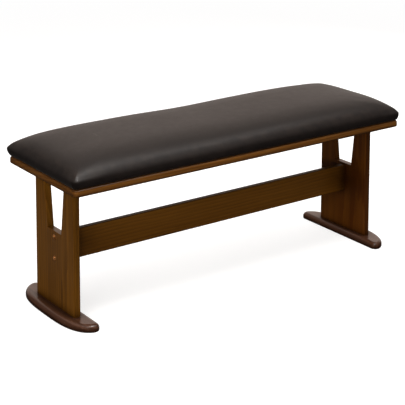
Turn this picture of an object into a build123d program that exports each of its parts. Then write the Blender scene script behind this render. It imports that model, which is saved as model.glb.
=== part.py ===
from build123d import *
import math
import os

# Upholstered wooden bench, millimetres, +Z up.
# Origin: on the floor, under the middle of the seat. X runs along the bench,
# left is -X, the front is at -Y, the floor is z = 0.

# ---- driving dimensions -------------------------------------------------
# seat board
board_length = 1050.0
board_depth = 338.0
board_thickness = 20.0
board_bottom = 350.0
board_corner = 11.0          # plan corner radius
board_top_round = 8.0
board_bottom_round = 5.0

# legs: three staves glued edge to edge
leg_outer_x = 488.5
leg_thickness = 19.0
leg_half_width = 96.0
leg_edge_round = 4.0
stave_half_width = 34.0      # also the opening's half width at its bottom
opening_top_half_width = 50.5
opening_bottom = 211.5
opening_round = 1.5

# feet: D-shaped runners, straight inboard and bowed outboard
foot_inner_x = 449.5
foot_outer_x = 519.5
foot_half_length = 163.5
foot_thickness = 18.5
foot_bow_power_y = 3.2       # superellipse powers of the bow
foot_bow_power_x = 2.35
foot_bow_spans = 24
foot_corner = 16.0
foot_top_round = 11.5
foot_bottom_round = 3.0

# stretcher board
stretcher_bottom = 130.0
stretcher_height = 77.0
stretcher_thickness = 18.0
stretcher_round = 3.0

# stretcher bolts and barrel nuts
bolt_spacing = 56.0
bolt_head_radius = 6.5
bolt_head_height = 3.2
bolt_head_rim = 0.6          # straight side below the dome
bolt_shank_radius = 3.0
bolt_shank_length = 51.0
bolt_tip_length = 1.0
bolt_tip_inset = 0.9
bolt_hole_radius = 3.3
bolt_hole_depth = 36.0       # into the stretcher
bolt_socket_flats = 4.0
bolt_socket_depth = 2.2
nut_radius = 5.0
nut_length = 13.0
nut_chamfer = 0.5
nut_slot_width = 1.4
nut_slot_depth = 1.2
nut_bore_clearance = 0.05
nut_hole_clearance = 0.1
nut_inset = 26.0             # nut axis from the stretcher's end

# wooden dowels
dowel_radius = 4.0
dowel_length = 30.0
dowel_chamfer = 0.8
stave_dowel_radius = 3.0
stave_dowel_length = 29.0
stave_dowel_chamfer = 0.6
dowel_clearance = 0.05
dowel_end_gap = 0.5          # socket depth beyond the dowel's end
panel_dowel_depth = 12.0     # into the seat board or a foot
stave_stretcher_dowel_depth = 11.0
stave_dowel_levels = (64.0, 180.0)
foot_dowel_y = 80.0
seat_dowel_y = 82.0

# wood screws
screw_radius = 2.0
screw_clearance = 0.05
pan_head_radius = 3.9
pan_head_height = 2.4
pan_head_rim = 0.7           # straight side below the dome
pan_recess_span = 4.2
pan_recess_depth = 1.4
csk_head_radius = 4.0
csk_clearance = 0.1
csk_recess_span = 4.4
csk_recess_depth = 1.5
recess_width = 0.9
counterbore_clearance = 0.6

foot_screw_y = 54.0
foot_screw_length = 45.0
foot_screw_point = 5.0
foot_screw_hole_depth = 33.0     # into a stave
foot_counterbore = 5.0

seat_screw_y = 63.0
seat_screw_length = 50.0
seat_screw_point = 6.0
seat_screw_hole_depth = 34.0     # into a post
seat_screw_sink = 0.1            # head below the board's top

cushion_screw_x = 380.0
cushion_screw_y = 110.0
cushion_screw_length = 21.0
cushion_screw_point = 4.0
cushion_screw_hole_depth = 7.5   # into the cushion base
cushion_counterbore = 7.0

# cushion
leather = 0.9
cushion_overhang = 4.0       # past the seat board, all round
cushion_corner = 14.0
cushion_gap = 0.05           # between cover, base and foam
hem_bottom = 370.9
hem_width = 28.0             # measured in from the base's edge
hem_corner = 12.0
base_thickness = 9.0
base_inset = 7.0             # base edge inside the cushion's widest outline
base_corner = 12.0

# staples
staple_crown = 10.0
staple_wire = 0.6
staple_width = 1.2
staple_leg = 7.0
staple_side_gap = 0.1        # added to the slot's width
staple_end_gap = 0.3         # added to the slot's depth
staple_pitch = 90

# ---- derived dimensions -------------------------------------------------
board_top = board_bottom + board_thickness
stretcher_mid = stretcher_bottom + stretcher_height / 2
leg_inner_x = leg_outer_x - leg_thickness
leg_mid_x = leg_outer_x - leg_thickness / 2
bolt_levels = (stretcher_mid - bolt_spacing / 2, stretcher_mid + bolt_spacing / 2)
nut_x = leg_inner_x - nut_inset

screw_hole_radius = screw_radius + screw_clearance
counterbore_radius = pan_head_radius + counterbore_clearance
dowel_hole_radius = dowel_radius + dowel_clearance
panel_dowel_hole_depth = panel_dowel_depth + dowel_end_gap
post_dowel_depth = dowel_length - panel_dowel_depth
post_dowel_hole_depth = post_dowel_depth + dowel_end_gap
stave_dowel_hole_radius = stave_dowel_radius + dowel_clearance
stave_dowel_hole_depth = stave_dowel_length / 2 + dowel_end_gap

cushion_length = board_length + 2 * cushion_overhang
cushion_depth = board_depth + 2 * cushion_overhang
base_length = cushion_length - 2 * base_inset
base_depth = cushion_depth - 2 * base_inset
hem_top = hem_bottom + leather
base_bottom = hem_top + cushion_gap
base_top = base_bottom + base_thickness

# rotations that turn local +Z towards a side of the bench
TO_FRONT = (90, 0, 0)
TO_REAR = (-90, 0, 0)
TO_LEFT = (0, -90, 0)
TO_RIGHT = (0, 90, 0)

UPWARD = (Align.CENTER, Align.CENTER, Align.MIN)
DOWNWARD = (Align.CENTER, Align.CENTER, Align.MAX)

os.makedirs("parts", exist_ok=True)


# ---- helpers ------------------------------------------------------------
def save(part, name):
    part.label = name
    export_step(part, f"parts/{name}.step")


def save_mirrored(part, plane, name):
    """Save and return the part's mirror image."""
    with BuildPart() as image:
        mirror(part, about=plane)
    save(image.part, name)
    return image.part


def save_copies(part, places, name):
    """Save one part that holds a copy at each place."""
    with BuildPart() as copies:
        with Locations(*places):
            add(part)
    save(copies.part, name)


def four_places(x, y, z):
    return [(sx * x, sy * y, z) for sx in (-1, 1) for sy in (-1, 1)]


def cushion_screw_places(z):
    return [
        (x, sy * cushion_screw_y, z)
        for x in (-cushion_screw_x, 0, cushion_screw_x)
        for sy in (-1, 1)
    ]


def drill(radius, depth, places, rotation=(0, 0, 0), align=UPWARD):
    """Cut a round hole at each place in the part being built."""
    with Locations(*places):
        Cylinder(radius, depth, rotation=rotation, align=align, mode=Mode.SUBTRACT)


def cut_cross_recess(span, depth):
    """Cut a driver's cross, centred on the current location."""
    Box(span, recess_width, 2 * depth, mode=Mode.SUBTRACT)
    Box(recess_width, span, 2 * depth, mode=Mode.SUBTRACT)


# ---- seat board ---------------------------------------------------------
with BuildPart() as seat_board:
    with BuildSketch(Plane.XY.offset(board_bottom)):
        RectangleRounded(board_length, board_depth, board_corner)
    extrude(amount=board_thickness)
    fillet(seat_board.faces().sort_by(Axis.Z)[-1].edges(), board_top_round)
    fillet(seat_board.faces().sort_by(Axis.Z)[0].edges(), board_bottom_round)
    # countersunk clearance holes for the screws down into the posts
    with Locations(*four_places(leg_mid_x, seat_screw_y, board_top)):
        CounterSinkHole(screw_hole_radius, csk_head_radius + csk_clearance, board_thickness, 90)
    # blind dowel sockets in the underside
    drill(dowel_hole_radius, panel_dowel_hole_depth,
          four_places(leg_mid_x, seat_dowel_y, board_bottom))
    # recessed holes for the screws up into the cushion base
    drill(screw_hole_radius, board_thickness, cushion_screw_places(board_bottom))
    drill(counterbore_radius, cushion_counterbore, cushion_screw_places(board_bottom))
save(seat_board.part, "seat_board")


# ---- legs: front post, rear post, centre stave --------------------------
with BuildPart() as left_front_post:
    with BuildSketch(Plane.YZ.offset(-leg_outer_x)):
        with BuildLine():
            Polyline(
                (-leg_half_width, foot_thickness),
                (-stave_half_width, foot_thickness),
                (-stave_half_width, opening_bottom),
                (-opening_top_half_width, board_bottom),
                (-leg_half_width, board_bottom),
                close=True,
            )
        make_face()
    extrude(amount=leg_thickness)
    outer_edges = left_front_post.edges().filter_by(Axis.Z).group_by(Axis.Y)[0]
    fillet(outer_edges, leg_edge_round)
    # the two long sloping edges beside the opening
    taper_run = opening_top_half_width - stave_half_width
    taper_edges = [
        e for e in left_front_post.edges()
        if abs(abs((e @ 0 - e @ 1).Y) - taper_run) < 0.01
        and abs((e @ 0 - e @ 1).X) < 0.01
    ]
    fillet(taper_edges, opening_round)
    # from the top: seat screw and seat dowel
    drill(screw_hole_radius, seat_screw_hole_depth,
          [(-leg_mid_x, -seat_screw_y, board_bottom)], align=DOWNWARD)
    drill(dowel_hole_radius, post_dowel_hole_depth,
          [(-leg_mid_x, -seat_dowel_y, board_bottom)], align=DOWNWARD)
    # from the bottom: foot dowel and foot screw
    drill(dowel_hole_radius, post_dowel_hole_depth,
          [(-leg_mid_x, -foot_dowel_y, foot_thickness)])
    drill(screw_hole_radius, foot_screw_hole_depth,
          [(-leg_mid_x, -foot_screw_y, foot_thickness)])
    # from the glued edge: stave dowels
    drill(stave_dowel_hole_radius, stave_dowel_hole_depth,
          [(-leg_mid_x, -stave_half_width, z) for z in stave_dowel_levels], TO_FRONT)
save(left_front_post.part, "left_front_post")

left_rear_post = save_mirrored(left_front_post.part, Plane.XZ, "left_rear_post")

with BuildPart() as left_centre_stave:
    with BuildSketch(Plane.YZ.offset(-leg_outer_x)):
        with Locations((0, foot_thickness)):
            Rectangle(
                2 * stave_half_width,
                opening_bottom - foot_thickness,
                align=(Align.CENTER, Align.MIN),
            )
    extrude(amount=leg_thickness)
    top_face = left_centre_stave.faces().sort_by(Axis.Z)[-1]
    fillet(top_face.edges().filter_by(Axis.Y), opening_round)
    # through holes for the stretcher bolts, cut 1 mm past each face
    with Locations(*[(-leg_mid_x, 0, z) for z in bolt_levels]):
        Cylinder(bolt_hole_radius, leg_thickness + 2, rotation=TO_RIGHT, mode=Mode.SUBTRACT)
    # blind socket for the stretcher dowel, in the inboard face
    drill(dowel_hole_radius, stave_stretcher_dowel_depth + dowel_end_gap,
          [(-leg_inner_x, 0, stretcher_mid)], TO_LEFT)
    # foot screw, then the stave dowels in both glued edges
    drill(screw_hole_radius, foot_screw_hole_depth, [(-leg_mid_x, 0, foot_thickness)])
    for side, direction in ((-1, TO_REAR), (1, TO_FRONT)):
        drill(stave_dowel_hole_radius, stave_dowel_hole_depth,
              [(-leg_mid_x, side * stave_half_width, z) for z in stave_dowel_levels],
              direction)
save(left_centre_stave.part, "left_centre_stave")

save_mirrored(left_front_post.part, Plane.YZ, "right_front_post")
save_mirrored(left_rear_post, Plane.YZ, "right_rear_post")
save_mirrored(left_centre_stave.part, Plane.YZ, "right_centre_stave")


# ---- feet ---------------------------------------------------------------
# superellipse bow, from the front end to the rear end
bow_width = foot_outer_x - foot_inner_x
bow = []
for i in range(foot_bow_spans + 1):
    angle = -math.pi / 2 + math.pi * i / foot_bow_spans
    y_share = math.copysign(abs(math.sin(angle)) ** (2 / foot_bow_power_y), math.sin(angle))
    x_share = abs(math.cos(angle)) ** (2 / foot_bow_power_x)
    bow.append((-foot_inner_x - bow_width * x_share, foot_half_length * y_share))

with BuildPart() as left_foot:
    with BuildSketch(Plane.XY) as foot_plan:
        with BuildLine():
            Spline(*bow, tangents=((-1, 0), (1, 0)))
            Line(bow[-1], bow[0])
        make_face()
        fillet(foot_plan.vertices(), foot_corner)
    extrude(amount=foot_thickness)
    fillet(left_foot.faces().sort_by(Axis.Z)[-1].edges(), foot_top_round)
    fillet(left_foot.faces().sort_by(Axis.Z)[0].edges(), foot_bottom_round)
    # dowel sockets in the top
    drill(dowel_hole_radius, panel_dowel_hole_depth,
          [(-leg_mid_x, sy * foot_dowel_y, foot_thickness) for sy in (-1, 1)],
          align=DOWNWARD)
    # recessed screw holes from below
    foot_hole_places = [(-leg_mid_x, y, 0) for y in (-foot_screw_y, 0, foot_screw_y)]
    drill(screw_hole_radius, foot_thickness, foot_hole_places)
    drill(counterbore_radius, foot_counterbore, foot_hole_places)
save(left_foot.part, "left_foot")
save_mirrored(left_foot.part, Plane.YZ, "right_foot")


# ---- stretcher ----------------------------------------------------------
with BuildPart() as stretcher:
    with BuildSketch(Plane.YZ.offset(-leg_inner_x)):
        with Locations((0, stretcher_mid)):
            RectangleRounded(stretcher_thickness, stretcher_height, stretcher_round)
    extrude(amount=2 * leg_inner_x)
    for side, inward in ((-1, TO_RIGHT), (1, TO_LEFT)):
        # bolt holes into the end, nut holes from the rear face, dowel socket
        drill(bolt_hole_radius, bolt_hole_depth,
              [(side * leg_inner_x, 0, z) for z in bolt_levels], inward)
        drill(nut_radius + nut_hole_clearance, (stretcher_thickness + nut_length) / 2,
              [(side * nut_x, stretcher_thickness / 2, z) for z in bolt_levels], TO_FRONT)
        drill(dowel_hole_radius, dowel_length - stave_stretcher_dowel_depth + dowel_end_gap,
              [(side * leg_inner_x, 0, stretcher_mid)], inward)
save(stretcher.part, "stretcher")


# ---- stretcher bolts: domed head with a hex socket, chamfered shank -----
# underside of the head at the origin, shank down along -Z
with BuildPart() as bolt:
    with BuildSketch(Plane.XZ):
        with BuildLine():
            Line((0, 0), (0, bolt_head_height))
            ThreePointArc(
                (0, bolt_head_height),
                (bolt_head_radius * 0.62, bolt_head_height * 0.83),
                (bolt_head_radius, bolt_head_rim),
            )
            Polyline(
                (bolt_head_radius, bolt_head_rim),
                (bolt_head_radius, 0),
                (bolt_shank_radius, 0),
                (bolt_shank_radius, -bolt_shank_length + bolt_tip_length),
                (bolt_shank_radius - bolt_tip_inset, -bolt_shank_length),
                (0, -bolt_shank_length),
                (0, 0),
            )
        make_face()
    revolve(axis=Axis.Z)
    with BuildSketch(Plane.XY.offset(bolt_head_height)):
        RegularPolygon(bolt_socket_flats / 2, 6, major_radius=False)
    extrude(amount=-bolt_socket_depth, mode=Mode.SUBTRACT)

bolt_places = [
    Location((side * leg_outer_x, 0, z), outward)
    for side, outward in ((-1, TO_LEFT), (1, TO_RIGHT))
    for z in bolt_levels
]
save_copies(bolt.part, bolt_places, "stretcher_bolts")


# ---- barrel nuts across the stretcher, slotted on the rear end ----------
with BuildPart() as barrel_nut:
    Cylinder(nut_radius, nut_length, align=UPWARD)
    chamfer(barrel_nut.edges().filter_by(GeomType.CIRCLE), nut_chamfer)
    with Locations((0, 0, nut_length)):
        Box(nut_slot_width, 2 * nut_radius + 1, 2 * nut_slot_depth, mode=Mode.SUBTRACT)
    with Locations((0, 0, nut_length / 2)):
        Cylinder(
            bolt_shank_radius + nut_bore_clearance,
            4 * nut_radius,
            rotation=TO_RIGHT,
            mode=Mode.SUBTRACT,
        )

nut_places = [
    Location((side * nut_x, -nut_length / 2, z), TO_REAR)
    for side in (-1, 1)
    for z in bolt_levels
]
save_copies(barrel_nut.part, nut_places, "barrel_nuts")


# ---- dowels, chamfered at both ends -------------------------------------
with BuildPart() as dowel:
    Cylinder(dowel_radius, dowel_length, align=UPWARD)
    chamfer(dowel.edges().filter_by(GeomType.CIRCLE), dowel_chamfer)

with BuildPart() as stave_dowel:
    Cylinder(stave_dowel_radius, stave_dowel_length)
    chamfer(stave_dowel.edges().filter_by(GeomType.CIRCLE), stave_dowel_chamfer)

stretcher_dowel_places = [
    Location((side * (leg_inner_x + stave_stretcher_dowel_depth), 0, stretcher_mid), inward)
    for side, inward in ((-1, TO_RIGHT), (1, TO_LEFT))
]
save_copies(dowel.part, stretcher_dowel_places, "stretcher_dowels")

stave_dowel_places = [
    Location((sx * leg_mid_x, sy * stave_half_width, z), TO_FRONT)
    for sx in (-1, 1)
    for sy in (-1, 1)
    for z in stave_dowel_levels
]
save_copies(stave_dowel.part, stave_dowel_places, "stave_dowels")

foot_dowel_places = four_places(leg_mid_x, foot_dowel_y, foot_thickness - panel_dowel_depth)
save_copies(dowel.part, foot_dowel_places, "foot_dowels")

seat_dowel_places = four_places(leg_mid_x, seat_dowel_y, board_bottom - post_dowel_depth)
save_copies(dowel.part, seat_dowel_places, "seat_dowels")


# ---- screws -------------------------------------------------------------
def make_pan_head_screw(length, point_length):
    """Pan-head wood screw: head below the origin, shank up along +Z."""
    with BuildPart() as screw:
        with BuildSketch(Plane.XZ):
            with BuildLine():
                Line((0, 0), (0, -pan_head_height))
                ThreePointArc(
                    (0, -pan_head_height),
                    (pan_head_radius * 0.66, -pan_head_height * 0.84),
                    (pan_head_radius, -pan_head_rim),
                )
                Polyline(
                    (pan_head_radius, -pan_head_rim),
                    (pan_head_radius, 0),
                    (screw_radius, 0),
                    (screw_radius, length - point_length),
                    (0, length),
                    (0, 0),
                )
            make_face()
        revolve(axis=Axis.Z)
        with Locations((0, 0, -pan_head_height)):
            cut_cross_recess(pan_recess_span, pan_recess_depth)
    return screw.part


foot_screw_places = [
    (sx * leg_mid_x, y, foot_counterbore)
    for sx in (-1, 1)
    for y in (-foot_screw_y, 0, foot_screw_y)
]
foot_screw = make_pan_head_screw(foot_screw_length, foot_screw_point)
save_copies(foot_screw, foot_screw_places, "foot_screws")

cushion_screw = make_pan_head_screw(cushion_screw_length, cushion_screw_point)
save_copies(
    cushion_screw, cushion_screw_places(board_bottom + cushion_counterbore), "cushion_screws"
)

# countersunk screw, head flush with the origin, shank down along -Z
with BuildPart() as seat_screw:
    with BuildSketch(Plane.XZ):
        with BuildLine():
            Polyline(
                (0, 0),
                (csk_head_radius, 0),
                (screw_radius, -(csk_head_radius - screw_radius)),
                (screw_radius, -(seat_screw_length - seat_screw_point)),
                (0, -seat_screw_length),
                close=True,
            )
        make_face()
    revolve(axis=Axis.Z)
    cut_cross_recess(csk_recess_span, csk_recess_depth)

seat_screw_places = four_places(leg_mid_x, seat_screw_y, board_top - seat_screw_sink)
save_copies(seat_screw.part, seat_screw_places, "seat_screws")


# ---- cushion surfaces ---------------------------------------------------
# outer surface of the cover: level, inset of the half length, inset of the half depth
cushion_profile = [
    (hem_bottom, 5.0, 5.0),
    (377.0, 2.0, 2.0),
    (387.0, 0.0, 0.0),
    (394.0, 1.6, 1.5),
    (400.5, 5.0, 4.6),
    (407.0, 10.0, 8.6),
    (414.0, 17.5, 13.6),
    (421.0, 28.0, 20.0),
    (428.0, 48.0, 30.5),
    (433.2, 78.0, 47.0),
    (437.4, 126.0, 70.0),
    (439.8, 215.0, 108.0),
]

# the same surface moved inward by the leather's thickness, square to the
# slope of the front and rear sides
lining_profile = []
for i, (z, inset_x, inset_y) in enumerate(cushion_profile):
    below = cushion_profile[max(i - 1, 0)]
    above = cushion_profile[min(i + 1, len(cushion_profile) - 1)]
    run = above[2] - below[2]
    rise = above[0] - below[0]
    slope_length = math.hypot(run, rise)
    drop = leather * run / slope_length
    shift = leather * rise / slope_length
    lining_profile.append((z - drop, inset_x + shift, inset_y + shift))
# the lowest section sits on the hem
lining_profile[0] = (
    hem_top, cushion_profile[0][1] + leather, cushion_profile[0][2] + leather
)
lining_corner = cushion_corner - leather


def cushion_outline(inset_x, inset_y, corner):
    """Draw one level's outline in the sketch being built."""
    RectangleRounded(cushion_length - 2 * inset_x, cushion_depth - 2 * inset_y, corner)


with BuildPart() as lining:
    for z, inset_x, inset_y in lining_profile:
        with BuildSketch(Plane.XY.offset(z)):
            cushion_outline(inset_x, inset_y, lining_corner)
    loft(ruled=True)


# ---- staples: crown under the hem, two legs up into the base ------------
def staple_legs(side_gap=0.0, end_gap=0.0):
    """Add the two legs, enlarged by the gaps, to the part being built."""
    leg_x = (staple_crown - staple_wire) / 2
    with Locations(*[(side * leg_x, 0, 0) for side in (-1, 1)]):
        Box(
            staple_wire + side_gap,
            staple_width + side_gap,
            staple_leg + end_gap,
            align=UPWARD,
        )


# staples run along the middle of the hem
hem_line_x = base_length / 2 - hem_width / 2
hem_line_y = base_depth / 2 - hem_width / 2
staple_places = [
    Location((i * staple_pitch, side * hem_line_y, hem_bottom), (0, 0, 0))
    for i in range(-5, 6)
    for side in (-1, 1)
]
staple_places += [
    Location((side * hem_line_x, i * staple_pitch, hem_bottom), (0, 0, 90))
    for i in range(-1, 2)
    for side in (-1, 1)
]

with BuildPart() as staple:
    with Locations((0, 0, -staple_wire / 2)):
        Box(staple_crown, staple_width, staple_wire)
    staple_legs()
save_copies(staple.part, staple_places, "cover_staples")

with BuildPart() as staple_slots:
    staple_legs(staple_side_gap, staple_end_gap)


# ---- cushion base: plywood ----------------------------------------------
with BuildPart() as cushion_base:
    with BuildSketch(Plane.XY.offset(base_bottom)):
        RectangleRounded(base_length, base_depth, base_corner)
    extrude(amount=base_thickness)
    drill(screw_hole_radius, cushion_screw_hole_depth, cushion_screw_places(base_bottom))
    with Locations(*staple_places):
        add(staple_slots.part, mode=Mode.SUBTRACT)
save(cushion_base.part, "cushion_base")


# ---- cushion foam: the lining's inside, above the base ------------------
with BuildPart() as cushion_foam:
    for z, inset_x, inset_y in lining_profile:
        with BuildSketch(Plane.XY.offset(z - cushion_gap)):
            cushion_outline(inset_x + cushion_gap, inset_y + cushion_gap, lining_corner)
    loft(ruled=True)
    split(bisect_by=Plane.XY.offset(base_top + cushion_gap), keep=Keep.TOP)
save(cushion_foam.part, "cushion_foam")


# ---- cushion cover: leatherette skin with a hem turned under the base ---
with BuildPart() as cushion_cover:
    for z, inset_x, inset_y in cushion_profile:
        with BuildSketch(Plane.XY.offset(z)):
            cushion_outline(inset_x, inset_y, cushion_corner)
    loft(ruled=True)
    add(lining.part, mode=Mode.SUBTRACT)
    # opening inside the hem, cut from 1 mm below it to well above it
    with BuildSketch(Plane.XY.offset(hem_bottom - 1)):
        RectangleRounded(base_length - 2 * hem_width, base_depth - 2 * hem_width, hem_corner)
    extrude(amount=4, mode=Mode.SUBTRACT)
    with Locations(*staple_places):
        add(staple_slots.part, mode=Mode.SUBTRACT)
save(cushion_cover.part, "cushion_cover")
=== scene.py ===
import bpy
import bmesh
import math
import numpy as np
from mathutils import Matrix, Vector, noise
from mathutils.kdtree import KDTree


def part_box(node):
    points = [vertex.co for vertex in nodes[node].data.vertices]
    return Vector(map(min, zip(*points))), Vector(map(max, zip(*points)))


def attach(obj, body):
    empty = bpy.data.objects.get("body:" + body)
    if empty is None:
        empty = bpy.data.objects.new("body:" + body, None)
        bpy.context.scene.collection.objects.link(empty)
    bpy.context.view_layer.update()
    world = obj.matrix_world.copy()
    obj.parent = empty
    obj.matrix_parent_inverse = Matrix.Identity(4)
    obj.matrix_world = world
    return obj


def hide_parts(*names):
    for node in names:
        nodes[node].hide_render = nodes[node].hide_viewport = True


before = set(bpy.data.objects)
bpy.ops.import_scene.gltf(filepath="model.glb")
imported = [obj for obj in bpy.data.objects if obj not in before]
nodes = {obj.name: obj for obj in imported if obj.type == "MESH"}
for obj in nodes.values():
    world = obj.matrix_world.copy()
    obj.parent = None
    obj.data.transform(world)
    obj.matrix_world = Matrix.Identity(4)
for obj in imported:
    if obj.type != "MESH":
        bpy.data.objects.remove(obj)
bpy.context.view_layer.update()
scene = bpy.context.scene

# --------------------------------------------------------------------------
# node helpers
# --------------------------------------------------------------------------


def srgb(r, g, b):
    """8-bit display colour to linear."""
    def f(c):
        c = c / 255.0
        return c / 12.92 if c <= 0.04045 else ((c + 0.055) / 1.055) ** 2.4
    return (f(r), f(g), f(b), 1.0)


class Tree:
    """A small helper that makes and links shader nodes."""

    def __init__(self, name):
        self.mat = bpy.data.materials.new(name)
        self.mat.use_nodes = True
        self.nt = self.mat.node_tree
        self.nt.nodes.clear()
        self.out = self.nt.nodes.new("ShaderNodeOutputMaterial")

    def node(self, kind, **props):
        n = self.nt.nodes.new(kind)
        for k, v in props.items():
            setattr(n, k, v)
        return n

    def link(self, a, b):
        self.nt.links.new(a, b)

    def put(self, socket, value):
        if hasattr(value, "is_linked") or isinstance(value, bpy.types.NodeSocket):
            self.link(value, socket)
        else:
            socket.default_value = value

    def coords(self):
        return self.node("ShaderNodeTexCoord").outputs["Object"]

    def mapping(self, vec, scale=(1, 1, 1), loc=(0, 0, 0), rot=(0, 0, 0)):
        n = self.node("ShaderNodeMapping")
        self.link(vec, n.inputs["Vector"])
        n.inputs["Scale"].default_value = scale
        n.inputs["Location"].default_value = loc
        n.inputs["Rotation"].default_value = rot
        return n.outputs["Vector"]

    def noise(self, vec, scale=1.0, detail=4.0, rough=0.5, distortion=0.0, lac=2.0):
        n = self.node("ShaderNodeTexNoise")
        self.link(vec, n.inputs["Vector"])
        n.inputs["Scale"].default_value = scale
        n.inputs["Detail"].default_value = detail
        n.inputs["Roughness"].default_value = rough
        n.inputs["Lacunarity"].default_value = lac
        n.inputs["Distortion"].default_value = distortion
        return n.outputs["Fac"]

    def voronoi(self, vec, scale=1.0, feature="F1", randomness=1.0, out="Distance", smooth=None):
        n = self.node("ShaderNodeTexVoronoi", feature=feature)
        self.link(vec, n.inputs["Vector"])
        n.inputs["Scale"].default_value = scale
        n.inputs["Randomness"].default_value = randomness
        if smooth is not None:
            n.inputs["Smoothness"].default_value = smooth
        return n.outputs[out]

    def ramp(self, fac, stops, interp="LINEAR"):
        n = self.node("ShaderNodeValToRGB")
        n.color_ramp.interpolation = interp
        el = n.color_ramp.elements
        while len(el) < len(stops):
            el.new(0.5)
        for e, (p, c) in zip(el, stops):
            e.position = p
            e.color = c if len(c) == 4 else (*c, 1.0)
        self.put(n.inputs["Fac"], fac)
        return n.outputs["Color"]

    def span(self, fac, lo, hi, a=0.0, b=1.0, smooth=True):
        n = self.node("ShaderNodeMapRange")
        n.interpolation_type = "SMOOTHSTEP" if smooth else "LINEAR"
        self.put(n.inputs["Value"], fac)
        n.inputs["From Min"].default_value = lo
        n.inputs["From Max"].default_value = hi
        n.inputs["To Min"].default_value = a
        n.inputs["To Max"].default_value = b
        return n.outputs["Result"]

    def math(self, op, a, b=None, c=None):
        n = self.node("ShaderNodeMath", operation=op)
        self.put(n.inputs[0], a)
        if b is not None:
            self.put(n.inputs[1], b)
        if c is not None:
            self.put(n.inputs[2], c)
        return n.outputs[0]

    def mix(self, fac, a, b, blend="MIX"):
        n = self.node("ShaderNodeMix", data_type="RGBA", blend_type=blend)
        self.put(n.inputs[0], fac)
        self.put(n.inputs[6], a)
        self.put(n.inputs[7], b)
        return n.outputs[2]

    def bump(self, height, strength, distance, normal=None):
        n = self.node("ShaderNodeBump")
        n.inputs["Strength"].default_value = strength
        n.inputs["Distance"].default_value = distance
        self.link(height, n.inputs["Height"])
        if normal is not None:
            self.link(normal, n.inputs["Normal"])
        return n.outputs["Normal"]

    def edge_mask(self, radius):
        """About 1 along convex edges, 0 on the flats."""
        bevel = self.node("ShaderNodeBevel", samples=4)
        bevel.inputs["Radius"].default_value = radius
        geo = self.node("ShaderNodeNewGeometry")
        dot = self.node("ShaderNodeVectorMath", operation="DOT_PRODUCT")
        self.link(bevel.outputs["Normal"], dot.inputs[0])
        self.link(geo.outputs["Normal"], dot.inputs[1])
        return self.span(dot.outputs["Value"], 0.995, 0.80)

    def principled(self, **inputs):
        n = self.node("ShaderNodeBsdfPrincipled")
        for k, v in inputs.items():
            self.put(n.inputs[k.replace("_", " ")], v)
        self.link(n.outputs["BSDF"], self.out.inputs["Surface"])
        return n


# --------------------------------------------------------------------------
# materials
# --------------------------------------------------------------------------


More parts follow.
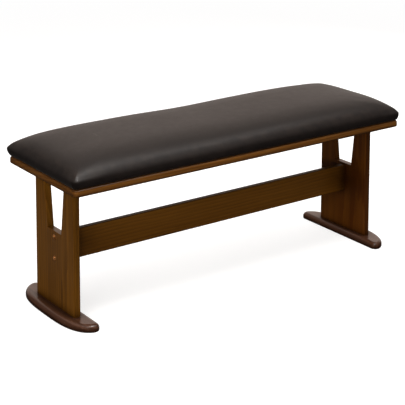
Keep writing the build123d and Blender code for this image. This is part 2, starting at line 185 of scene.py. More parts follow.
def wood(name, dark, mid, light, grain="Z", shift=(0, 0, 0), tone=0.0, rough=0.34,
         coat=0.35, coat_rough=0.16, contrast=1.0, glue_lines=False, edge=0.35, tint=None,
         painted_low_shade=None, dull_top_painted_shade=0.0, painted_corner_shade=0.70, painted_joint_shadow=0.0, narrow=0.0):
    """Stained and lacquered hardwood: growth rings stretched along the grain, open pores,
    slow colour drift and slightly rubbed edges under a clear satin coat. Downward faces lose most
    of the coat and are darkened with painted shade, and painted shade darkens the corners
    (painted_corner_shade); painted_low_shade darkens a lower arris with painted shade, dull_top_painted_shade takes
    the coat off upward faces and darkens them with painted shade, painted_joint_shadow is how dark the
    painted shadow round the stretcher's ends is, narrow darkens the faces turned to the front and back
    with painted shade."""
    t = Tree(name)
    obj = t.coords()
    # turn the frame so that the grain always runs along local Z, then slide it for this board
    rot = {"Z": (0, 0, 0), "X": (0, math.radians(90), 0), "Y": (math.radians(90), 0, 0)}[grain]
    p = t.mapping(obj, rot=rot)
    p = t.mapping(p, loc=shift)

    # a slow sideways wander so the lines aren't ruled
    wander = t.node("ShaderNodeTexNoise")
    t.link(t.mapping(p, scale=(4, 4, 1.6)), wander.inputs["Vector"])
    wander.inputs["Scale"].default_value = 1.0
    wander.inputs["Detail"].default_value = 2.0
    sub = t.node("ShaderNodeVectorMath", operation="SUBTRACT")
    t.link(wander.outputs["Color"], sub.inputs[0])
    sub.inputs[1].default_value = (0.5, 0.5, 0.5)
    scl = t.node("ShaderNodeVectorMath", operation="SCALE")
    t.link(sub.outputs[0], scl.inputs[0])
    scl.inputs["Scale"].default_value = 0.030
    addv = t.node("ShaderNodeVectorMath", operation="ADD")
    t.link(p, addv.inputs[0])
    t.link(scl.outputs[0], addv.inputs[1])
    q = addv.outputs[0]

    # growth rings: broad bands across the board, long along it
    rings = t.node("ShaderNodeTexWave", wave_type="RINGS", rings_direction="Z", wave_profile="SAW")
    t.link(t.mapping(q, scale=(1, 1, 0.10), loc=(0.11, 0.045, 0.0)), rings.inputs["Vector"])
    rings.inputs["Scale"].default_value = 34.0
    rings.inputs["Distortion"].default_value = 3.2
    rings.inputs["Detail"].default_value = 3.0
    rings.inputs["Detail Scale"].default_value = 1.4
    rings.inputs["Detail Roughness"].default_value = 0.55
    ring = rings.outputs["Fac"]

    # fine fibre streaks and short open pores
    fibre = t.noise(t.mapping(q, scale=(260, 260, 5.0)), 1.0, 4.0, 0.6)
    pore_n = t.noise(t.mapping(q, scale=(900, 900, 26.0)), 1.0, 2.0, 0.5)
    pore = t.span(pore_n, 0.60, 0.72)
    drift = t.noise(t.mapping(q, scale=(7, 7, 1.3)), 1.0, 3.0, 0.5)

    v = t.math("MULTIPLY", ring, 0.30 * contrast)
    v = t.math("ADD", v, t.math("MULTIPLY", fibre, 0.50 * contrast))
    v = t.math("ADD", v, t.math("MULTIPLY", drift, 0.75))
    v = t.math("ADD", v, -0.29 - 0.40 * (contrast - 1.0) + tone)
    col = t.ramp(v, [(0.12, dark), (0.46, mid), (0.86, light)])
    col = t.mix(t.math("MULTIPLY", pore, 0.38 * contrast), col, dark)
    if tint is not None:
        col = t.mix(tint[0], col, tint[1])

    em = t.edge_mask(0.0022)
    breakup = t.span(t.noise(obj, 55.0, 3.0, 0.6), 0.35, 0.70)
    worn = t.math("MULTIPLY", t.math("MULTIPLY", em, breakup), edge)
    col = t.mix(worn, col, tuple(min(1.0, c * 1.35) for c in light[:3]) + (1.0,))

    sep = t.node("ShaderNodeSeparateXYZ")
    t.link(obj, sep.inputs[0])
    geo = t.node("ShaderNodeNewGeometry")
    face = t.node("ShaderNodeSeparateXYZ")
    t.link(geo.outputs["Normal"], face.inputs[0])
    # painted shade: the dark colour that the painted shade marks below mix towards
    painted_shade_colour = tuple(c * 0.35 for c in dark[:3]) + (1.0,)
    # painted shade on downward faces
    under = t.span(face.outputs["Z"], -0.02, -0.60)
    col = t.mix(t.math("MULTIPLY", under, 0.62), col, painted_shade_colour)
    # painted shade towards the bottom of the given height band (the legs above the feet, the seat board's lower arris)
    if painted_low_shade is not None:
        low = t.span(sep.outputs["Z"], painted_low_shade[1], painted_low_shade[0])
        col = t.mix(t.math("MULTIPLY", low, painted_low_shade[2]), col, painted_shade_colour)
    # painted shade in corners and where parts meet, from an occlusion node
    ao = t.node("ShaderNodeAmbientOcclusion", samples=6)
    ao.inputs["Distance"].default_value = 0.030
    corner = t.math("MULTIPLY", t.span(ao.outputs["AO"], 0.98, 0.50), painted_corner_shade)
    col = t.mix(corner, col, painted_shade_colour)
    # painted shadow round the stretcher's ends, on the stretcher and on the legs' inner faces
    if painted_joint_shadow > 0:
        ax = t.math("ABSOLUTE", sep.outputs["X"])
        near = t.math("ADD", t.math("POWER", t.math("DIVIDE", t.math("ADD", sep.outputs["Y"], 0.016), 0.074), 2.0),
                      t.math("POWER", t.math("DIVIDE", t.math("SUBTRACT", sep.outputs["Z"], 0.176), 0.060), 2.0))
        near = t.math("ADD", near, t.math("POWER", t.math("DIVIDE", t.math("SUBTRACT", ax, 0.4695), 0.060), 2.0))
        near = t.math("MULTIPLY", t.math("POWER", 0.36788, near), t.math("LESS_THAN", ax, 0.4720))
        near = t.math("MULTIPLY", near, t.span(t.noise(obj, 24.0, 3.0, 0.6), 0.20, 0.62, 0.7, 1.0))
        col = t.mix(t.math("MULTIPLY", near, painted_joint_shadow), col, srgb(24, 7, 2))
    # painted shade on the faces turned to the front and back
    if narrow > 0:
        turned = t.span(t.math("ABSOLUTE", face.outputs["Y"]), 0.45, 0.85)
        col = t.mix(t.math("MULTIPLY", turned, narrow), col, painted_shade_colour)
    # painted shade on upward faces, which also lose the coat
    upward = t.math("MULTIPLY", t.span(face.outputs["Z"], 0.45, 0.90), dull_top_painted_shade)
    col = t.mix(t.math("MULTIPLY", upward, 0.75), col, painted_shade_colour)

    height = t.math("SUBTRACT", t.math("MULTIPLY", fibre, 0.35), pore)
    if glue_lines:
        d = t.math("ABSOLUTE", t.math("SUBTRACT", t.math("ABSOLUTE", sep.outputs["Y"]), 0.034))
        below = t.math("LESS_THAN", sep.outputs["Z"], 0.2115)
        line = t.math("MULTIPLY", t.span(d, 0.0010, 0.0002), below)
        col = t.mix(t.math("MULTIPLY", line, 0.55), col, tuple(c * 0.45 for c in dark[:3]) + (1.0,))
        height = t.math("SUBTRACT", height, t.math("MULTIPLY", line, 1.5))
    nrm = t.bump(height, 0.30, 0.00025)
    ripple = t.noise(t.mapping(obj, scale=(1, 1, 1)), 38.0, 2.0, 0.5)
    coat_n = t.bump(ripple, 0.10, 0.0006)
    r = t.math("ADD", t.math("MULTIPLY", t.noise(obj, 18.0, 3.0, 0.6), 0.10), rough - 0.05)
    r = t.math("ADD", r, t.math("MULTIPLY", pore, 0.08))
    # coat and specular are taken off on upward faces, in the painted-shade corners and on downward faces
    keep = t.math("SUBTRACT", 1.0, t.math("MAXIMUM", t.math("MAXIMUM", upward, corner), t.math("MULTIPLY", under, 0.8)))
    b = t.principled(Base_Color=col, Roughness=r, Normal=nrm, Coat_Weight=t.math("MULTIPLY", keep, coat),
                     Coat_Roughness=coat_rough, Coat_Normal=coat_n)
    t.link(t.math("MULTIPLY", keep, 0.5), b.inputs["Specular IOR Level"])
    b.inputs["IOR"].default_value = 1.46
    b.inputs["Coat IOR"].default_value = 1.5
    return t.mat


def leatherette(name):
    """Black-brown PVC leather: pebbled grain, satin sheen, faint rubbed marks with a painted sheen, painted shade in
    the grain's creases and colour drift.
    """
    t = Tree(name)
    obj = t.coords()
    cells = t.voronoi(obj, 780.0, "SMOOTH_F1", 1.0, "Distance", 0.35)
    cells2 = t.voronoi(t.mapping(obj, scale=(1, 1.15, 1), loc=(3.1, 1.7, 0.4)), 430.0, "DISTANCE_TO_EDGE", 1.0)
    crease = t.span(cells2, 0.0, 0.10)
    fine = t.noise(obj, 2600.0, 2.0, 0.6)
    drift = t.noise(obj, 5.0, 4.0, 0.55)
    mottle = t.noise(obj, 46.0, 3.0, 0.6)
    h = t.math("ADD", t.math("MULTIPLY", cells, -0.7), t.math("MULTIPLY", crease, 0.5))
    h = t.math("ADD", h, t.math("MULTIPLY", fine, 0.22))
    nrm = t.bump(h, 0.22, 0.00022)
    col = t.ramp(t.math("ADD", t.math("MULTIPLY", drift, 0.7), t.math("MULTIPLY", mottle, 0.3)),
                 [(0.25, srgb(15, 11, 10)), (0.55, srgb(21, 16, 14)), (0.80, srgb(28, 22, 19))])
    # painted shade: darker in the creases between the pebbles
    col = t.mix(t.math("MULTIPLY", t.math("SUBTRACT", 1.0, crease), 0.35), col, srgb(9, 7, 6))
    # rubbed a little smoother where the edge is sat over, and paler there: partly wear, partly a painted sheen along
    # the shoulder
    attr = t.node("ShaderNodeAttribute", attribute_name="rub_and_sheen")
    rub_and_sheen = t.math("MULTIPLY", attr.outputs["Fac"], t.span(mottle, 0.35, 0.65))
    col = t.mix(t.math("MULTIPLY", rub_and_sheen, 0.30), col, srgb(48, 39, 34))
    r = t.math("ADD", t.math("MULTIPLY", mottle, 0.12), 0.36)
    r = t.math("ADD", r, t.math("MULTIPLY", drift, 0.08))
    r = t.math("SUBTRACT", r, t.math("MULTIPLY", rub_and_sheen, 0.07))
    b = t.principled(Base_Color=col, Roughness=r, Normal=nrm)
    b.inputs["IOR"].default_value = 1.5
    b.inputs["Specular IOR Level"].default_value = 0.5
    b.inputs["Sheen Weight"].default_value = 0.04
    b.inputs["Sheen Roughness"].default_value = 0.4
    return t.mat


def bronze(name):
    t = Tree(name)
    obj = t.coords()
    n1 = t.noise(obj, 420.0, 4.0, 0.6)
    n2 = t.noise(obj, 90.0, 3.0, 0.5)
    col = t.ramp(n2, [(0.3, srgb(150, 92, 50)), (0.6, srgb(204, 136, 80)), (0.85, srgb(232, 172, 112))])
    em = t.edge_mask(0.0006)
    col = t.mix(t.math("MULTIPLY", em, 0.6), col, srgb(206, 158, 110))
    r = t.math("ADD", t.math("MULTIPLY", n1, 0.14), 0.22)
    t.principled(Base_Color=col, Metallic=0.75, Roughness=r, Normal=t.bump(n1, 0.15, 0.0001))
    return t.mat


def zinc(name):
    t = Tree(name)
    obj = t.coords()
    n1 = t.noise(t.mapping(obj, scale=(1, 1, 6)), 700.0, 4.0, 0.65)
    n2 = t.voronoi(obj, 900.0, "F1", 1.0)
    col = t.ramp(n2, [(0.1, srgb(168, 168, 172)), (0.7, srgb(205, 206, 210))])
    r = t.math("ADD", t.math("MULTIPLY", n1, 0.22), 0.24)
    t.principled(Base_Color=col, Metallic=1.0, Roughness=r, Normal=t.bump(n1, 0.2, 0.00006))
    return t.mat


def raw_wood(name, ply=False):
    t = Tree(name)
    obj = t.coords()
    fibre = t.noise(t.mapping(obj, scale=(5, 260, 260)), 1.0, 4.0, 0.6)
    col = t.ramp(fibre, [(0.25, srgb(168, 128, 84)), (0.55, srgb(198, 160, 112)), (0.8, srgb(218, 186, 140))])
    h = fibre
    if ply:
        # alternating veneers show as bands up the panel's edge
        sep = t.node("ShaderNodeSeparateXYZ")
        t.link(obj, sep.inputs[0])
        band = t.math("PINGPONG", t.math("MULTIPLY", t.math("SUBTRACT", sep.outputs["Z"], 0.37185), 1000.0 / 1.8), 1.0)
        geo = t.node("ShaderNodeNewGeometry")
        gs = t.node("ShaderNodeSeparateXYZ")
        t.link(geo.outputs["Normal"], gs.inputs[0])
        side = t.math("SUBTRACT", 1.0, t.math("ABSOLUTE", gs.outputs["Z"]))
        col = t.mix(t.math("MULTIPLY", t.math("MULTIPLY", t.span(band, 0.4, 0.6), side), 0.6), col, srgb(120, 84, 52))
    r = t.math("ADD", t.math("MULTIPLY", fibre, 0.15), 0.55)
    t.principled(Base_Color=col, Roughness=r, Normal=t.bump(h, 0.4, 0.0002))
    return t.mat


def foam_material(name):
    t = Tree(name)
    obj = t.coords()
    cell = t.voronoi(obj, 650.0, "F1", 1.0)
    big = t.noise(obj, 30.0, 3.0, 0.5)
    col = t.ramp(big, [(0.3, srgb(226, 210, 160)), (0.7, srgb(240, 228, 186))])
    # painted shade in the foam's pits
    col = t.mix(t.span(cell, 0.3, 0.05), col, srgb(188, 166, 112))
    t.principled(Base_Color=col, Roughness=0.95, Normal=t.bump(cell, 0.7, 0.0007))
    return t.mat


def dress(node, mat):
    """Puts one material in every slot of a CAD node."""
    o = nodes[node]
    if not o.material_slots:
        o.data.materials.append(mat)
    for s in o.material_slots:
        s.link = "OBJECT"
        s.material = mat


leg_dark, leg_mid, leg_light = srgb(62, 34, 4), srgb(104, 65, 14), srgb(130, 84, 26)
for side, sh in (("left", 0.0), ("right", 0.37)):
    for part, tone, off in (("front_post", -0.14, 0.13), ("centre_stave", 0.00, 0.41), ("rear_post", 0.02, 0.77)):
        n = f"{side}_{part}"
        # painted shade: the right legs get a darker tone and a redder tint; the right rear post is painted a little
        # lighter again
        right_leg_shade_tint = (0.55, srgb(84, 38, 8)) if side == "right" else None
        dress(n, wood("wood_" + n, leg_dark, leg_mid, leg_light, "Z", (sh + off, off * 0.7, sh),
                      tone=tone - ((0.08 if part == "front_post" else 0.20) if side == "right" else 0.0)
                      + (0.06 if n == "right_rear_post" else 0.0), glue_lines=True, tint=right_leg_shade_tint,
                      painted_low_shade=(0.0185, 0.030, 0.35), painted_joint_shadow=0.80, narrow=0.30))
dress("seat_board", wood("wood_seat_board", srgb(62, 34, 10), srgb(104, 64, 22), srgb(134, 88, 38), "X",
                         (0.21, 0.05, 0.4), rough=0.30, coat=0.85, coat_rough=0.15,
                         painted_low_shade=(0.3500, 0.3640, 0.55)))
dress("stretcher", wood("wood_stretcher", srgb(58, 32, 4), srgb(96, 59, 13), srgb(122, 78, 24), "X",
                        (0.62, 0.31, 0.1), tone=-0.03, contrast=0.9, dull_top_painted_shade=0.9, painted_joint_shadow=0.80))
for n, off in (("left_foot", 0.2), ("right_foot", 0.9)):
    dress(n, wood("wood_" + n, srgb(44, 24, 15), srgb(72, 45, 31), srgb(94, 62, 46), "Y",
                  (off, 0.4, off * 0.5), rough=0.30, coat=0.48, coat_rough=0.10, painted_corner_shade=0.85))
dress("stretcher_bolts", bronze("bronze_plate"))
steel = zinc("zinc_plate")
for n in ("barrel_nuts", "foot_screws", "cushion_screws", "seat_screws", "cover_staples"):
    dress(n, steel)
beech = raw_wood("beech_dowel")
for n in ("stretcher_dowels", "stave_dowels", "foot_dowels", "seat_dowels"):
    dress(n, beech)
dress("cushion_base", raw_wood("plywood", ply=True))

# --------------------------------------------------------------------------
# cushion: crowned pad, simulated, then skinned as a thin cover with a hem
# --------------------------------------------------------------------------

c_lo, c_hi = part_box("cushion_cover")
b_lo, b_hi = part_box("cushion_base")
HX, HY = c_hi.x, c_hi.y
Z0 = c_lo.z                     # underside of the hem
CROWN = 0.0288
CROWN_X, CROWN_Y = 12.0, 4.4
CORNER = 0.0150
ROLL_UNDER = 0.0015             # radius where the cover turns under
# side and shoulder, without the crown: how far in from the widest line, height above Z0 (mm)
PROFILE = ((3.7, 2.2), (2.3, 4.8), (1.15, 8.0), (0.4, 11.6), (0.05, 14.6), (0.0, 16.4), (0.2, 18.4),
           (0.9, 20.6), (2.2, 22.9), (4.1, 25.2), (6.7, 27.7), (10.0, 30.2), (14.0, 32.4), (18.7, 34.2),
           (24.0, 35.5), (30.5, 36.4), (38.5, 36.9), (50.0, 37.0))
LIP = 0.0048                    # how far the crease is drawn in
WIDE = 0.0164                   # height of the widest level above the hem
ZW = Z0 + WIDE
SIDE_H = 0.0250
HEM = 0.028
SKIN = 0.0009
NL, NS, NC = 176, 56, 14        # quads along the long side, the short side and a corner


def plan_ring(inset):
    """Plan outline drawn in by inset, anticlockwise from the middle of the right end."""
    r = max(CORNER - inset, 0.003)
    a, b = HX - inset - r, HY - inset - r
    out = []

    def line(p, q, n):
        for i in range(n):
            f = i / n
            out.append((p[0] + (q[0] - p[0]) * f, p[1] + (q[1] - p[1]) * f))

    def arc(cx, cy, a0, n):
        for i in range(n):
            t = a0 + i / n * math.pi / 2
            out.append((cx + r * math.cos(t), cy + r * math.sin(t)))

    line((a + r, 0), (a + r, b), NS // 2)
    arc(a, b, 0, NC)
    line((a, b + r), (-a, b + r), NL)
    arc(-a, b, math.pi / 2, NC)
    line((-a - r, b), (-a - r, -b), NS)
    arc(-a, -b, math.pi, NC)
    line((-a, -b - r), (a, -b - r), NL)
    arc(a, -b, 1.5 * math.pi, NC)
    line((a + r, -b), (a + r, 0), NS // 2)
    return out


def inside(x, y):
    """Distance in from the pad's plan edge."""
    qx, qy = abs(x) - (HX - CORNER), abs(y) - (HY - CORNER)
    return CORNER - (math.hypot(max(qx, 0), max(qy, 0)) + min(max(qx, qy), 0))


def crown(x, y):
    return CROWN * max(0.0, 1 - abs(x / HX) ** CROWN_X) * max(0.0, 1 - abs(y / HY) ** CROWN_Y)


def unevenness(x, y):
    """Hand-stuffed softness: a slack place left of the middle, a fuller left half, small dimples."""
    back = 0.55 + 0.45 * y / HY
    v = 0.0026 * math.exp(-((x + 0.33) / 0.17) ** 2) - 0.0034 * math.exp(-((x + 0.01) / 0.11) ** 2)
    v = (v - 0.0036 * math.exp(-((x - 0.45) / 0.09) ** 2)) * back
    v += noise.noise(Vector((x * 3.1 + 4.2, y * 5.0 + 1.3, 0.7))) * 0.0009
    v += noise.noise(Vector((x * 9.0 - 2.0, y * 11.0, 3.1))) * 0.0006
    return v


def smooth_profile(per_span=2):
    """The side profile with points added between by a Catmull-Rom curve."""
    p = [(LIP * 1e3, ROLL_UNDER * 1e3)] + list(PROFILE)
    out = []
    for i in range(len(p) - 1):
        p0, p1, p2, p3 = p[max(i - 1, 0)], p[i], p[i + 1], p[min(i + 2, len(p) - 1)]
        for k in range(per_span):
            t = k / per_span
            q = []
            for c in (0, 1):
                q.append(0.5 * (2 * p1[c] + (p2[c] - p0[c]) * t + (2 * p0[c] - 5 * p1[c] + 4 * p2[c] - p3[c]) * t * t
                                + (3 * p1[c] - p0[c] - 3 * p2[c] + p3[c]) * t ** 3))
            out.append((max(q[0], 0.0) * 1e-3, q[1] * 1e-3))
    out.append((p[-1][0] * 1e-3, p[-1][1] * 1e-3))
    return out


def pad_rings(full_bottom):
    """Rings of points from the underside, round the drawn-in side and shoulder, to the crown."""
    rings = []
    hem_in = HX - (b_hi.x - HEM)
    unders = [hem_in, hem_in * 0.8, hem_in * 0.62, hem_in * 0.46, hem_in * 0.33, 0.0085, 0.0068]
    if full_bottom:
        inner = []
        d = HY - 0.010
        while d > hem_in + 0.004:
            inner.append(d)
            d -= 0.006
        unders = inner + unders
    for d in unders:
        rings.append([(x, y, Z0) for x, y in plan_ring(d)])
    for k in range(0, 4):
        t = k / 4 * math.pi / 2
        d = LIP + ROLL_UNDER * (1 - math.sin(t))
        z = Z0 + ROLL_UNDER * (1 - math.cos(t))
        rings.append([(x, y, z) for x, y in plan_ring(d)])
    levels = smooth_profile()
    d = levels[-1][0]
    while d < HY - 0.014:
        d += 0.006
        levels.append((d, levels[-1][1]))
    widest = min(range(len(levels)), key=lambda i: abs(levels[i][1] - WIDE))
    for i, (d, h) in enumerate(levels):
        lift = 0.0 if i <= widest else min(1.0, (h - levels[widest][1]) / SIDE_H)
        rings.append([(x, y, Z0 + h + (crown(x, y) + unevenness(x, y) * lift if lift > 0 else 0.0))
                      for x, y in plan_ring(d)])
    return rings


def skin(name, rings, cap_first, cap_last):
    """Quads between rings; a capped ring is closed with strips across to its mirror image."""
    n = len(rings[0])
    verts = [p for r in rings for p in r]
    faces = []
    for k in range(len(rings) - 1):
        o, q = k * n, (k + 1) * n
        for i in range(n):
            j = (i + 1) % n
            faces.append((o + i, o + j, q + j, q + i))

    def strips(base, flip):
        m = n // 2
        for i in range(m):
            f = [base + i, base + i + 1, base + (n - i - 1) % n, base + (n - i) % n]
            if i == 0:
                f = [base, base + 1, base + n - 1]
            elif i == m - 1:
                f = [base + i, base + i + 1, base + (n - i) % n]
            faces.append(tuple(reversed(f)) if flip else tuple(f))

    if cap_first:
        strips(0, True)
    if cap_last:
        strips((len(rings) - 1) * n, False)
    me = bpy.data.meshes.new(name)
    me.from_pydata(verts, [], faces)
    me.update()
    me.validate()
    o = bpy.data.objects.new(name, me)
    scene.collection.objects.link(o)
    return o


def activate(o):
    for x in bpy.context.selected_objects:
        x.select_set(False)
    o.select_set(True)
    bpy.context.view_layer.objects.active = o


def apply_all(o):
    activate(o)
    for m in list(o.modifiers):
        bpy.ops.object.modifier_apply(modifier=m.name)


def coords_of(o):
    a = np.zeros(len(o.data.vertices) * 3, np.float32)
    o.data.vertices.foreach_get("co", a)
    return a.reshape(-1, 3).astype(float)


def set_coords(o, a):
    o.data.vertices.foreach_set("co", a.astype(np.float32).ravel())
    o.data.update()


def inflate():
    """Cloth under pressure on a voxel copy of the pad: gives how each place wants to move."""
    work = skin("pad_work", pad_rings(True), True, True)
    pts0 = coords_of(work)
    mid = np.array([0.0, 0.0, Z0 + 0.03])
    set_coords(work, mid + (pts0 - mid) * np.array([0.996, 0.99, 0.98]))
    rm = work.modifiers.new("remesh", "REMESH")
    rm.mode = "VOXEL"
    rm.voxel_size = 0.0055
    apply_all(work)
    sm = work.modifiers.new("smooth", "SMOOTH")
    sm.factor, sm.iterations = 0.5, 4
    apply_all(work)
    start = coords_of(work)
    held = work.vertex_groups.new(name="held")
    for i, p in enumerate(start):
        w = min(1.0, max(0.0, 1.0 - (p[2] - Z0 - 0.005) / 0.006))
        if w > 0:
            held.add([i], float(w), "REPLACE")
    cl = work.modifiers.new("cloth", "CLOTH")
    s = cl.settings
    s.quality = 6
    s.mass = 0.35
    s.tension_stiffness = 25
    s.compression_stiffness = 25
    s.shear_stiffness = 12
    s.bending_stiffness = 1.5
    s.use_pressure = True
    s.uniform_pressure_force = 4.0
    s.vertex_group_mass = "held"
    s.pin_stiffness = 4.0
    s.effector_weights.gravity = 0.0
    cl.collision_settings.use_collision = False
    cl.point_cache.frame_start, cl.point_cache.frame_end = 1, 20
    scene.frame_start, scene.frame_end = 1, 20
    for f in range(1, 21):
        scene.frame_set(f)
        bpy.context.view_layer.update()
    apply_all(work)
    scene.frame_set(1)
    delta = coords_of(work) - start
    bpy.data.objects.remove(work)
    return start, delta


CAP = 0.0024                    # the most the simulation may move the drawn pad


def simulated(points):
    """The simulated movement carried to the given points, smoothed and scaled under the cap."""
    start, delta = inflate()
    kd = KDTree(len(start))
    for i, p in enumerate(start):
        kd.insert(p, i)
    kd.balance()
    out = np.zeros_like(points)
    for i, p in enumerate(points):
        near = kd.find_n(p, 14)
        w = np.array([math.exp(-(d / 0.009) ** 2) for _, _, d in near]) + 1e-9
        out[i] = (delta[[j for _, j, _ in near]] * w[:, None]).sum(axis=0) / w.sum()
    size = np.linalg.norm(out, axis=1)
    print("cloth: largest movement %.1f mm, kept to %.1f mm" % (size.max() * 1e3, CAP * 1e3))
    return out * (CAP / max(size.max(), 1e-9))


rings = pad_rings(False)
n_ring = len(rings[0])
P = np.array([p for r in rings for p in r])
move = simulated(P)
lift = np.clip((P[:, 2] - Z0 - 0.004) / 0.012, 0, 1)
P = P + move * (lift * lift * (3 - 2 * lift))[:, None]

# the stuffing fills the corners unevenly, the rear left one the most
for sx, sy, full, sink in ((-1, 1, 0.0046, 0.0014), (-1, -1, 0.0012, 0.0020), (1, -1, 0.0006, 0.0030),
                           (1, 1, 0.0012, 0.0004)):
    away = (P[:, 0] - sx * HX) ** 2 + (P[:, 1] - sy * HY) ** 2
    w = full * np.exp(-away / 0.045 ** 2) * np.exp(-((P[:, 2] - ZW - 0.003) / 0.013) ** 2)
    P[:, 0] += sx * 0.7071 * w
    P[:, 1] += sy * 0.7071 * w
    P[:, 2] -= sink * np.exp(-away / 0.055 ** 2) * np.clip((P[:, 2] - ZW) / 0.012, 0, 1)

# puckers where the cover is gathered round each corner, fading out by the widest level
for i, p in enumerate(P):
    qx, qy = abs(p[0]) - (HX - CORNER), abs(p[1]) - (HY - CORNER)
    if qx > -0.02 and qy > -0.02 and p[2] < ZW + 0.012 and inside(p[0], p[1]) < 0.02:
        ang = math.atan2(p[1] - math.copysign(HY - CORNER, p[1]), p[0] - math.copysign(HX - CORNER, p[0]))
        f = max(0.0, 1 - (p[2] - Z0) / (ZW + 0.012 - Z0))
        side = min(1.0, max(0.0, min(qx, qy) / 0.02 + 1.0))
        k = math.copysign(3.0, p[0]) + math.copysign(1.0, p[1])
        fold = math.sin(ang * 11 + k + 1.5 * noise.noise(Vector((ang * 2.0, k, 0.0))))
        amp = 0.00038 * f * f * side
        P[i, 0] += math.cos(ang) * fold * amp
        P[i, 1] += math.sin(ang) * fold * amp

rings = [[tuple(p) for p in P[k * n_ring:(k + 1) * n_ring]] for k in range(len(rings))]
pad = skin("seat_cover", rings, False, True)

# foam block inside the cover, standing on the plywood: the cover's inner face moved in
nrm = np.zeros(len(pad.data.vertices) * 3, np.float32)
pad.data.vertices.foreach_get("normal", nrm)
nrm = nrm.reshape(-1, 3)
gap = SKIN + 0.0009
Q = P - nrm[:len(P)] * gap
zb = b_hi.z + 0.0001
foam_rings = []
for k in range(1, len(rings)):
    a, b = Q[(k - 1) * n_ring:k * n_ring], Q[k * n_ring:(k + 1) * n_ring]
    if b[:, 2].min() <= zb + 0.0008:
        continue
    if not foam_rings:
        low = b.copy()
        low[:, 2] = zb
        low[:, 0] *= 0.9985
        low[:, 1] *= 0.996
        foam_rings.append([tuple(p) for p in low])
    foam_rings.append([tuple(p) for p in b])
foam = skin("seat_foam", foam_rings, True, True)
for p in foam.data.polygons:
    p.use_smooth = True
foam.data.materials.append(foam_material("foam"))
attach(foam, "root")
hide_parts("cushion_foam")

sol = pad.modifiers.new("thick", "SOLIDIFY")
sol.thickness = SKIN
sol.offset = -1.0
sol.use_rim = True
sol.use_even_offset = False
apply_all(pad)
# a band round the shoulder, made smoother (rub wear) and paler (painted sheen) in the leatherette
rub_and_sheen = pad.data.attributes.new("rub_and_sheen", "FLOAT", "POINT")
pts = coords_of(pad)
vals = np.array([max(0.0, 1 - abs(inside(p[0], p[1]) - 0.012) / 0.016) for p in pts], np.float32)
rub_and_sheen.data.foreach_set("value", vals)
for p in pad.data.polygons:
    p.use_smooth = True
pad.data.materials.append(leatherette("leatherette"))
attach(pad, "root")
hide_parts("cushion_cover")

# --------------------------------------------------------------------------
# floor, light, camera
# --------------------------------------------------------------------------

bm = bmesh.new()
for x, y in ((-14, -14), (14, -14), (14, 14), (-14, 14)):
    bm.verts.new((x, y, 0.0))
bm.faces.new(bm.verts)
me = bpy.data.meshes.new("studio_floor")
bm.to_mesh(me)
bm.free()
floor = bpy.data.objects.new("studio_floor", me)
scene.collection.objects.link(floor)
t = Tree("studio_floor")
lp = t.node("ShaderNodeLightPath")
d1 = t.node("ShaderNodeBsdfDiffuse")
d1.inputs["Color"].default_value = (0.46, 0.46, 0.46, 1)
d2 = t.node("ShaderNodeBsdfDiffuse")
d2.inputs["Color"].default_value = (0.018, 0.017, 0.0165, 1)
mx = t.node("ShaderNodeMixShader")
em = t.node("ShaderNodeEmission")
em.inputs["Color"].default_value = (1, 1, 1, 1)
em.inputs["Strength"].default_value = 0.70
add = t.node("ShaderNodeAddShader")
t.link(d1.outputs[0], add.inputs[0])
t.link(em.outputs[0], add.inputs[1])
t.link(lp.outputs["Is Camera Ray"], mx.inputs[0])
t.link(d2.outputs[0], mx.inputs[1])
t.link(add.outputs[0], mx.inputs[2])
# far from the bench the floor fades into the white background
ft = t.node("ShaderNodeSeparateXYZ")
t.link(t.coords(), ft.inputs[0])
away = t.math("SQRT", t.math("ADD", t.math("POWER", ft.outputs["X"], 2.0), t.math("POWER", ft.outputs["Y"], 2.0)))
white = t.node("ShaderNodeEmission")
white.inputs["Color"].default_value = (1, 1, 1, 1)
fade = t.node("ShaderNodeMixShader")
t.link(t.math("MULTIPLY", t.span(away, 1.3, 4.5), lp.outputs["Is Camera Ray"]), fade.inputs[0])
t.link(mx.outputs[0], fade.inputs[1])
t.link(white.outputs[0], fade.inputs[2])
t.link(fade.outputs[0], t.out.inputs["Surface"])
me.materials.append(t.mat)

world = bpy.data.worlds.new("studio")
scene.world = world
world.use_nodes = True
wt = world.node_tree
wt.nodes.clear()
wo = wt.nodes.new("ShaderNodeOutputWorld")
bg_cam = wt.nodes.new("ShaderNodeBackground")
bg_cam.inputs["Color"].default_value = (1, 1, 1, 1)
bg_cam.inputs["Strength"].default_value = 1.0
bg_env = wt.nodes.new("ShaderNodeBackground")
bg_env.inputs["Strength"].default_value = 1.0
geo = wt.nodes.new("ShaderNodeTexCoord")
sep = wt.nodes.new("ShaderNodeSeparateXYZ")
wt.links.new(geo.outputs["Generated"], sep.inputs[0])
# a dim room with one wide pale wall high up behind the bench (+Y)


def wmath(op, x, y=None, z=None):
    n = wt.nodes.new("ShaderNodeMath")
    n.operation = op
    for i, v in enumerate((x, y, z)):
        if v is None:
            continue
        if isinstance(v, bpy.types.NodeSocket):
            wt.links.new(v, n.inputs[i])
        else:
            n.inputs[i].default_value = v
    return n.outputs[0]


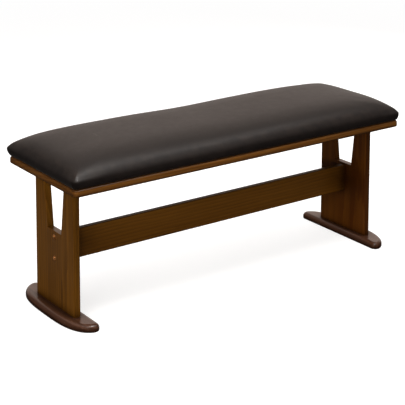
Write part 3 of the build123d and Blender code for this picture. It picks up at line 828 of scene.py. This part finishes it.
toward = wmath("ADD", wmath("MULTIPLY", sep.outputs["Y"], 0.82), wmath("MULTIPLY", sep.outputs["X"], 0.57))
azim = wt.nodes.new("ShaderNodeMapRange")
azim.interpolation_type = "SMOOTHSTEP"
wt.links.new(toward, azim.inputs["Value"])
azim.inputs["From Min"].default_value = 0.55
azim.inputs["From Max"].default_value = 0.92
low = wt.nodes.new("ShaderNodeMapRange")
low.interpolation_type = "SMOOTHSTEP"
wt.links.new(sep.outputs["Z"], low.inputs["Value"])
low.inputs["From Min"].default_value = 0.80
low.inputs["From Max"].default_value = 0.40
wall = wmath("MULTIPLY", azim.outputs["Result"], low.outputs["Result"])
ramp = wt.nodes.new("ShaderNodeValToRGB")
ramp.color_ramp.elements[0].position = 0.0
ramp.color_ramp.elements[0].color = (0.030, 0.029, 0.028, 1)
ramp.color_ramp.elements[1].position = 1.0
ramp.color_ramp.elements[1].color = (0.75, 0.625, 0.555, 1)
high = wt.nodes.new("ShaderNodeMapRange")
high.interpolation_type = "SMOOTHSTEP"
wt.links.new(sep.outputs["Z"], high.inputs["Value"])
high.inputs["From Min"].default_value = 0.35
high.inputs["From Max"].default_value = 0.95
high.inputs["To Min"].default_value = 0.0
high.inputs["To Max"].default_value = 0.62
wt.links.new(wmath("ADD", wall, high.outputs["Result"]), ramp.inputs["Fac"])
wt.links.new(ramp.outputs["Color"], bg_env.inputs["Color"])
wlp = wt.nodes.new("ShaderNodeLightPath")
wm = wt.nodes.new("ShaderNodeMixShader")
wt.links.new(wlp.outputs["Is Camera Ray"], wm.inputs[0])
wt.links.new(bg_env.outputs[0], wm.inputs[1])
wt.links.new(bg_cam.outputs[0], wm.inputs[2])
wt.links.new(wm.outputs[0], wo.inputs["Surface"])


def softbox(name, loc, aim, size, watts, colour=(1, 1, 1)):
    ld = bpy.data.lights.new(name, "AREA")
    ld.shape = "RECTANGLE"
    ld.size, ld.size_y = size
    ld.energy = watts
    ld.color = colour
    o = bpy.data.objects.new(name, ld)
    o.location = loc
    o.rotation_euler = (Vector(aim) - Vector(loc)).to_track_quat("-Z", "Y").to_euler()
    scene.collection.objects.link(o)
    return o


left = softbox("left_bank", (-3.0, -1.6, 1.6), (0, 0, 0.25), (1.6, 1.6), 48, (1.0, 0.985, 0.96))
left.visible_glossy = False
top = softbox("top_bank", (0.2, 0.2, 3.0), (0, 0, 0.3), (3.4, 2.4), 92)
top.visible_glossy = False
softbox("front_strip", (0.72, -0.80, 1.88), (0.0, -0.16, 0.38), (1.3, 0.36), 4.2, (1.0, 0.99, 0.98))
front = softbox("front_bank", (-2.0, -3.0, 0.55), (0.1, 0, 0.24), (1.3, 0.7), 52, (1.0, 0.985, 0.96))
front.visible_glossy = False
softbox("left_spot", (-2.4, -1.9, 2.3), (-0.4, 0, 0.2), (0.35, 0.35), 3, (1.0, 0.99, 0.97))
softbox("corner_bank", (-0.50, -0.72, 1.95), (-0.5, -0.16, 0.40), (0.75, 0.3), 15, (1.0, 0.99, 0.97))
# fill for the far end and the back, without a shadow of its own
far = softbox("far_bank", (2.8, 0.9, 0.75), (0.45, 0, 0.22), (1.4, 1.0), 34, (1.0, 0.985, 0.96))
far.visible_glossy = False
far.data.use_shadow = False
# a narrow beam that only picks out the bolt heads
ld = bpy.data.lights.new("bolt_beam", "SPOT")
ld.energy, ld.spot_size, ld.spot_blend, ld.shadow_soft_size = 120, math.radians(5.5), 0.3, 0.10
ld.color = (1.0, 0.97, 0.92)
beam = bpy.data.objects.new("bolt_beam", ld)
beam.location = (-2.6, 0.6, 0.32)
beam.rotation_euler = (Vector((-0.49, 0, 0.168)) - beam.location).to_track_quat("-Z", "Y").to_euler()
beam.visible_diffuse = False
scene.collection.objects.link(beam)

# camera: the fitted pinhole, with the lens shifted as the photo's crop is
F_PX, YAW, PITCH, ROLL = 1295.729, 0.6187852, 0.1360227, 0.0021570
K = 1.05 / 1.10
CAM = Vector((-2.0902027 * K, -2.8576507 * K, 1.4525056 * K))
CX, CY = 197.2938, -67.5067
cd = bpy.data.cameras.new("camera")
cd.sensor_width = 36.0
cd.lens = F_PX * 36.0 / 405.0
cam = bpy.data.objects.new("camera", cd)
scene.collection.objects.link(cam)
scene.camera = cam
fwd = Vector((math.sin(YAW) * math.cos(PITCH), math.cos(YAW) * math.cos(PITCH), -math.sin(PITCH)))
right = Vector((math.cos(YAW), -math.sin(YAW), 0))
up = right.cross(fwd)
right2 = right * math.cos(ROLL) + up * math.sin(ROLL)
up2 = -right * math.sin(ROLL) + up * math.cos(ROLL)
rot = Matrix((right2, up2, -fwd)).transposed()
cam.matrix_world = Matrix.Translation(CAM) @ rot.to_4x4()
cd.clip_start, cd.clip_end = 0.05, 100
SHIFT_X = (202.5 - CX) / 405.0
SHIFT_Y = (CY - 202.5) / 405.0
cd.shift_x, cd.shift_y = SHIFT_X, SHIFT_Y


place = bpy.data.objects.new("camera_place", None)
place.location = CAM
place.empty_display_size = 0.02
scene.collection.objects.link(place)


def shift_only_here(prop, value):
    """The lens shift belongs to this viewpoint: it goes to 0 when the camera is moved."""
    curve = cd.driver_add(prop)
    curve.driver.type = "SUM"
    v = curve.driver.variables.new()
    v.name = "moved"
    v.type = "LOC_DIFF"
    for target, o in zip(v.targets, (cam, place)):
        target.id = o
        target.transform_space = "WORLD_SPACE"
    for m in list(curve.modifiers):
        curve.modifiers.remove(m)
    while len(curve.keyframe_points):
        curve.keyframe_points.remove(curve.keyframe_points[0])
    for at, amount in ((-1.0, value), (0.05, value), (0.10, 0.0), (1.0, 0.0)):
        k = curve.keyframe_points.insert(at, amount)
        k.interpolation = "LINEAR"
    curve.extrapolation = "CONSTANT"
    curve.update()


shift_only_here("shift_x", SHIFT_X)
shift_only_here("shift_y", SHIFT_Y)

scene.view_settings.view_transform = "Standard"
scene.view_settings.look = "None"
scene.view_settings.exposure = 0.0
scene.view_settings.gamma = 1.0
scene.render.film_transparent = False
